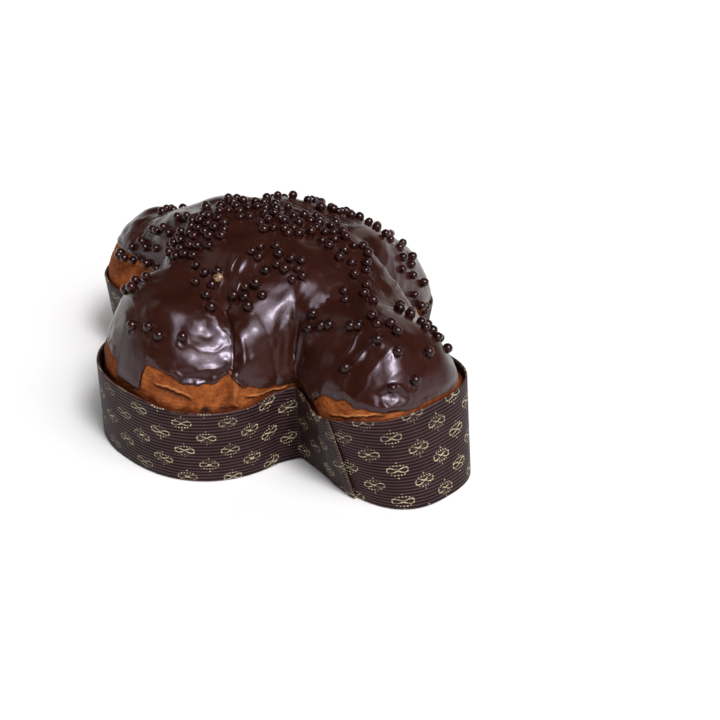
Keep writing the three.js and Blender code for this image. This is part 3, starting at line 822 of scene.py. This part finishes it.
def collars(points):
    """A low ring of icing round every pearl: the nearest one's counts."""
    off_ring = np.full(points.shape[:-1], np.inf)
    for x, y, across in pearls:
        off_ring = np.minimum(off_ring, np.abs(from_place(points, x, y) - across * COLLAR_AT))
    return COLLAR_HIGH * np.exp(-((off_ring / COLLAR_WIDE) ** 2))


# Patches where the skin of the setting icing wrinkled: the folds run the way that a patch
# is turned, and stand a step apart.
WRINKLES = [
    dict(at=(-89, -24), long=24, wide=11, turn=80, step=4.2, high=0.75),
    dict(at=(2, 33), long=34, wide=9, turn=10, step=5.0, high=0.75),
    dict(at=(58, 30), long=30, wide=11, turn=-52, step=4.6, high=0.7),
    dict(at=(17, -41), long=13, wide=12, turn=-62, step=5.2, high=0.85),
    dict(at=(20, -66), long=20, wide=8, turn=8, step=5.5, high=0.55),
    dict(at=(36, -80), long=12, wide=12, turn=50, step=5.0, high=0.45),
    dict(at=(54, -42), long=14, wide=10, turn=-80, step=4.6, high=0.5),
    dict(at=(112, -44), long=16, wide=10, turn=40, step=5.5, high=0.35),
    dict(at=(-20, -84), long=18, wide=10, turn=-30, step=6.0, high=0.4),
    dict(at=(98, -36), long=16, wide=16, turn=78, step=8.0, high=0.95),
]
# Sharp lines in the icing, as paths in the plan: slits in the creases, and folds' edges.
LINES = [
    dict(path=[(22, -61), (31, -62), (38, -67), (42, -70), (44, -75)], high=-1.1, width=1.0),
    dict(path=[(33, -61), (41, -64.5), (45.5, -67), (47.5, -72)], high=0.9, width=1.3),
    dict(path=[(4, -66), (13, -64), (22, -59), (31, -58)], high=0.9, width=1.3),
    dict(path=[(52.5, -33), (53, -38), (54.5, -43)], high=-1.5, width=1.0),
    dict(path=[(57, -33), (58.5, -38), (60.5, -42)], high=1.3, width=1.5),
    dict(path=[(47, -34), (49, -40), (50.5, -45)], high=0.8, width=1.6),
]
# Low swellings where the icing gathered, and one hollow: place, reach and height.
SWELLINGS = [
    (120, -44, 7, 2.0), (126, -35, 5, 1.3), (104, -48, 6, 1.5), (108, -25, 6, 0.8), (46, -52, 6, 1.0),
    (56, -47, 6, 1.3), (61, -53, 12, 2.8), (4, -86, 8, 1.3), (24, -78, 6, 1.0), (-14, -94, 7, 0.9),
    (12, -38, 7, 0.8), (20, -46, 5, 1.3), (29, -41, 5, 1.1), (18, -58, 4, 0.9), (50, -20, 8, 0.9),
    (84, -38, 7, 0.9), (92, -45, 6, 1.2), (104, -33, 6, -0.9), (-40, -70, 9, 0.7), (78, -24, 7, 0.8),
]
RING_REACH = 6.4


def icing_relief(points):
    """Slow swellings and ripples, then the wrinkled patches, each a row of sharp-crested
    waves (1 - |sin|)^2 under a window, then the sharp lines and the ring."""
    flat = points[..., :2]
    slow = 0.85 * noise(points, 19, 21) + 0.55 * noise(points, 9.5, 22)
    near_crease = smooth(0.15, 2.2, crease_depth(flat))
    patchy = smooth(0.0, 0.6, noise(points, 24, 23))
    ripples = noise(points, 5.6, 24) * 0.4 + noise(points, 2.8, 25) * 0.05
    total = slow + ripples * (0.25 + 0.75 * np.maximum(near_crease, patchy))
    warp = 3.2 * noise(points, 13, 26) + 1.2 * noise(points, 6, 27)
    for patch in WRINKLES:
        along, across = turned(flat, patch["at"], patch["turn"])
        window = np.exp(-((along / patch["long"]) ** 2) - (across / patch["wide"]) ** 2)
        crest = (1 - np.abs(np.sin(np.pi * (across + warp) / patch["step"]))) ** 2
        total = total + patch["high"] * window * crest
    bent = flat + 0.8 * np.stack([noise(points, 7, seed) for seed in (28, 29)], -1)
    for line in LINES:
        away, along = off_path(bent, line["path"])
        ends = smooth(0, 0.8, along) * smooth(len(line["path"]) - 1, len(line["path"]) - 1.6, along)
        total = total + line["high"] * ends * np.exp(-((away / line["width"]) ** 2))
    for x, y, reach, high in SWELLINGS:
        total = total + high * np.exp(-((from_place(points, x, y) / reach) ** 2))
    away = from_place(points, *RINGED) + 2.2 * noise(points, 7, 35)
    uneven = 0.8 + 1.3 * noise(points, 6, 36)
    ring = uneven * np.exp(-(((away - RING_REACH) / 1.3) ** 2)) - 0.9 * np.exp(-((away / 5.0) ** 2))
    return total + ring


# Rows of points close together on the lip, then up the shoulder and in to the middle. A
# degree of the shoulder is about as many millimetres long as PER_DEGREE says.
ICING_COLUMNS = 760
PER_DEGREE = 0.62
LIP_ROWS = np.array([0, 0.12, 0.4, 0.8, 1.3, 1.9, 2.7, 3.6])
SHOULDER_ROWS = 45
MIDDLE_ROWS = 60
turns = np.linspace(0, 1, ICING_COLUMNS, endpoint=False)
edge_angle = icing_edge(turns)
lip = LIP_ROWS[:, None] / PER_DEGREE + edge_angle
shoulder = lip[-1] + (90 - lip[-1]) * np.linspace(0, 1, SHOULDER_ROWS + 1)[1:, None]
inside = 90 + 90 * np.linspace(0, 1, MIDDLE_ROWS + 1)[1:, None] + 0 * edge_angle
angles = np.vstack([lip, shoulder, inside])
base = cake_top(turns, angles)
out_way = normals(base)
distance = (angles - edge_angle) * PER_DEGREE
rounded = np.sqrt(np.clip(1 - (1 - np.minimum(distance / LIP_ROUND, 1)) ** 2, 0, 1))
rounded = rounded * (LIP_SHARE + LIP_GAIN * smooth(0.5, 8, distance))
bead = BEAD_HIGH * np.exp(-(((distance - BEAD_AT) / BEAD_WIDE) ** 2))
flow = icing_relief(base) * smooth(0, 5, distance)
over_cake = np.maximum((ICING + bead) * rounded + flow, THINNEST * rounded) + collars(base)
under_it = crust_relief(base)[0] * bareness(angles - edge_angle)
thick = CLEAR + over_cake + under_it
upper = base + out_way * thick[..., None]

# The underside has only a few of the rows and closes the skin.
UNDER_ROWS = [len(angles) - 1, 90, 70, 52, 35, 20, 7, 0]
under = (base + out_way * (CLEAR * 0.3 + under_it)[..., None])[UNDER_ROWS]
skin = np.concatenate([upper, under])
chocolate_icing = make_piece("icing", skin, grid_faces(*skin.shape[:2], round_rows=True))

chocolate = Finish("dark_chocolate", Specular_IOR_Level=0.45, Specular_Tint=(0.97, 0.88, 1.0, 1))
tone = chocolate.grain(22, 4)
fine = chocolate.grain(2.2, 3, 0.5)
bubbles = chocolate.grain(0.7, 1).ramp(0.62, 0.72) * chocolate.near((50, -39, 87), 9, 6)
# A pinhole in the icing, drawn as a near-black spot: painted shade where no hole is made.
painted_pinhole_shade = chocolate.near((17, -95, 75), 0.9, 0.4)
chocolate.feed(
    Base_Color=chocolate.coats(
        chocolate.blend(tone.ramp(0.3, 0.7), (0.0195, 0.0045, 0.0022), (0.0300, 0.0078, 0.0042)),
        (painted_pinhole_shade, (0.002, 0.001, 0.001))),
    Roughness=tone * 0.2 + 0.155,
    Normal=chocolate.bump(fine * 0.5 - bubbles, 0.35, 0.35))
chocolate_icing.data.materials.append(chocolate.material)
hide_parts("chocolate_icing")

# The pearls themselves, each a ball of a few faces, sunk a little into the icing: the share
# of its size by which its middle stands over the icing, and how uneven that and its form are.
STANDS = 0.3
SUNK_BY = (-0.16, 0.04)
UNROUND = 0.05
BALL_STEPS = 3


def ball(steps):
    """Corners and faces of a unit ball: a cube's six grids, each corner pushed out."""
    line = np.tan(np.linspace(-np.pi / 4, np.pi / 4, steps + 1))
    a, b = np.meshgrid(line, line, indexing="ij")
    sides = []
    for axis in range(3):
        for sign in (1, -1):
            side = np.stack([np.full_like(a, sign), a * sign, b], -1)
            sides.append(np.roll(side, axis, -1))
    points = np.array(sides).reshape(-1, 3)
    points /= np.linalg.norm(points, axis=-1, keepdims=True)
    one = grid_faces(steps + 1, steps + 1, round_columns=False)
    return points, np.concatenate([one + k * (steps + 1) ** 2 for k in range(6)])


def height_over(point):
    """The icing's height and normal over points of the plan, at its nearest grid points."""
    flat, way = upper[..., :2].reshape(-1, 2), normals(upper).reshape(-1, 3)
    tops = upper[..., 2].ravel()
    found = [np.argmin(np.hypot(flat[:, 0] - x, flat[:, 1] - y) - tops * 1e-3) for x, y in point]
    return tops[found], way[found]


corners, sides = ball(BALL_STEPS)
tops, ways = height_over(pearls[:, :2])
rng = np.random.default_rng(7)
unround = 1 + rng.uniform(-UNROUND, UNROUND, (len(pearls), 1, 3))
stands = STANDS + rng.uniform(*SUNK_BY, len(pearls))
centres = np.column_stack([pearls[:, :2], tops]) + ways * (pearls[:, 2] * stands)[:, None]
balls = centres[:, None] + corners[None] * unround * pearls[:, 2][:, None, None] / 2
faces = (sides[None] + (np.arange(len(pearls)) * len(corners))[:, None, None]).reshape(-1, 4)
broken = np.repeat(np.arange(len(pearls)) == len(pearls) - 1, len(corners)).astype(float)
pearl_piece = make_piece("pearls", balls, faces, {"broken": broken})
shell = Finish("pearl_chocolate", Specular_IOR_Level=0.32)
dull = shell.grain(9, 1).ramp(0.55, 0.65)
mottle = shell.grain(5, 2).ramp(0.35, 0.65)
crumbly = shell.mark("broken", "Fac") * shell.grain(1.6, 3).ramp(0.4, 0.6)
shell.feed(
    Base_Color=shell.coats(
        shell.blend(mottle, (0.0100, 0.0020, 0.0017), (0.0260, 0.0054, 0.0040)),
        (crumbly, (0.42, 0.24, 0.13))),
    Roughness=dull * 0.16 + crumbly * 0.4 + 0.085,
    Normal=shell.bump(shell.grain(1.4, 2), 0.12, 0.4))
pearl_piece.data.materials.append(shell.material)
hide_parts("chocolate_icing")

# ---- floor, light and camera -------------------------------------------------------
# A pale floor, one wide soft light high on the camera's right with a brighter middle, two
# weak ones behind and on the left, and a room that is pale low down and dark overhead.
FLOOR_SIZE = 24
LIT_HEIGHT = 0.06
bpy.ops.mesh.primitive_plane_add(size=FLOOR_SIZE)
floor = bpy.context.object
floor.name = "floor"
pale = Finish("pale_floor", Roughness=0.9, Specular_IOR_Level=0.1, Base_Color=(0.82, 0.82, 0.77, 1))
floor.data.materials.append(pale.material)

room = Finish("room", bpy.data.worlds.new("room"), "Background")
bpy.context.scene.world = room.material
rise = room.parts(room.node("ShaderNodeTexCoord"))[2]
room.feed(Color=room.blend(rise.ramp(0.06, 0.24), (0.85, 0.85, 0.85), (0.020, 0.019, 0.020)))


def lamp(name, kind, azimuth, elevation, distance, **settings):
    """A lamp round the object's middle, facing it. Azimuth 0 is over the -Y side."""
    a, e = np.radians([azimuth, elevation])
    way = Vector((np.sin(a) * np.cos(e), -np.cos(a) * np.cos(e), np.sin(e)))
    light = bpy.data.lights.new(name, kind)
    for key, value in settings.items():
        setattr(light, key, value)
    made = bpy.data.objects.new(name, light)
    made.location = Vector((0, 0, LIT_HEIGHT)) + way * distance
    made.rotation_euler = way.to_track_quat("Z", "Y").to_euler()
    bpy.context.scene.collection.objects.link(made)


COOL = (0.94, 0.93, 1.0)
WARM = (1.0, 0.88, 0.82)
lamp("key", "SUN", 70, 52, 2, energy=2.8, angle=np.radians(54), color=COOL)
lamp("glint", "SUN", 70, 50, 2, energy=2.3, angle=np.radians(15), color=COOL)
lamp("left", "AREA", -70, 42, 1.6, energy=0.9, size=0.8, color=WARM)
lamp("behind", "AREA", 195, 24, 1.6, energy=2.0, size=0.9, color=WARM)

EYE = (445.8, -436.5, 361.5)
AIM = (-0.3, 76.6, 0)
FOCAL = 60.0
SENSOR = 36
ROLL = 4.0
eye, aim = (Vector((np.array(place) + PLACE) / 1000) for place in (EYE, AIM))
forward = (aim - eye).normalized()
level = forward.cross(Vector((0, 0, 1))).normalized()
upright = level.cross(forward)
roll = np.radians(ROLL)
up = upright * np.cos(roll) - level * np.sin(roll)
right = forward.cross(up)
camera = bpy.data.objects.new("camera", bpy.data.cameras.new("camera"))
camera.data.lens = FOCAL
camera.data.sensor_width = SENSOR
camera.matrix_world = Matrix.Translation(eye) @ Matrix((right, up, -forward)).transposed().to_4x4()
bpy.context.scene.collection.objects.link(camera)
bpy.context.scene.camera = camera
bpy.context.scene.view_settings.view_transform = "Standard"
